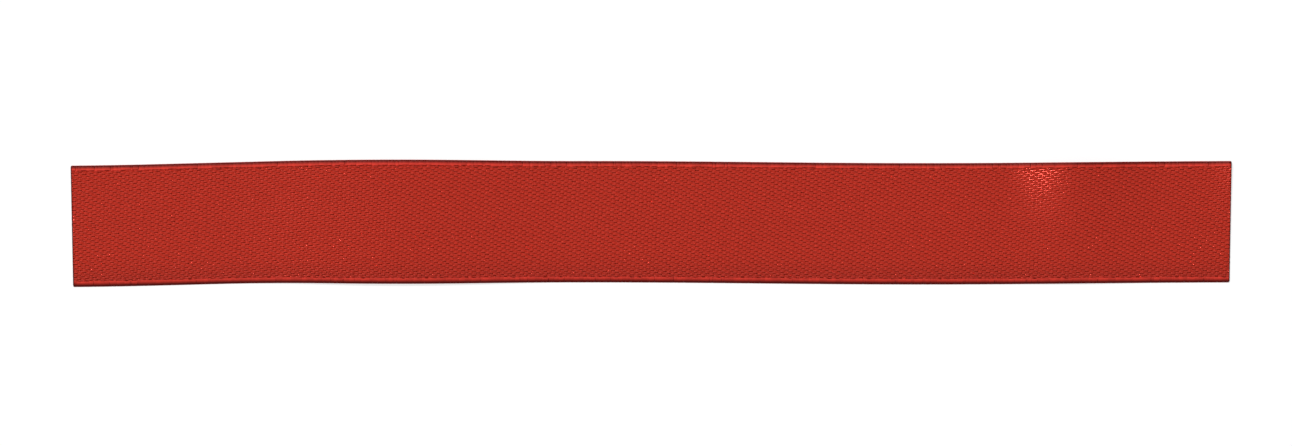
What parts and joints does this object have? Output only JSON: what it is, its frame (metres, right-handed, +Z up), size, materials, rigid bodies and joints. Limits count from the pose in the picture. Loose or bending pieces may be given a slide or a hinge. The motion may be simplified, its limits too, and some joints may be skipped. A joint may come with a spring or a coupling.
{
  "type": "satin ribbon length",
  "caption": "Cut length of narrow red single-face satin gift ribbon, lying face up in gentle ripples, with woven selvedges and heat-sealed square ends.",
  "frame": {"origin": "middle of the ribbon, on the underside, at the height of the table it lies on", "axes": "+X along the ribbon towards the end that is on the right in the picture, +Y across it towards the edge that is at the top of the picture, +Z up out of the satin face"},
  "size_m": [0.1438, 0.0158, 0.0014],
  "materials": {
    "satin_warp": "satin",
    "ground_weft": "matt",
    "selvedge": "satin",
    "melted_yarn": "glossy"
  },
  "bodies": {
    "root": {"satin_face": "satin_warp", "weft_ground": "ground_weft", "upper_selvedge": "selvedge", "lower_selvedge": "selvedge", "left_melted_rim": "melted_yarn", "right_melted_rim": "melted_yarn"}
  },
  "joints": []
}
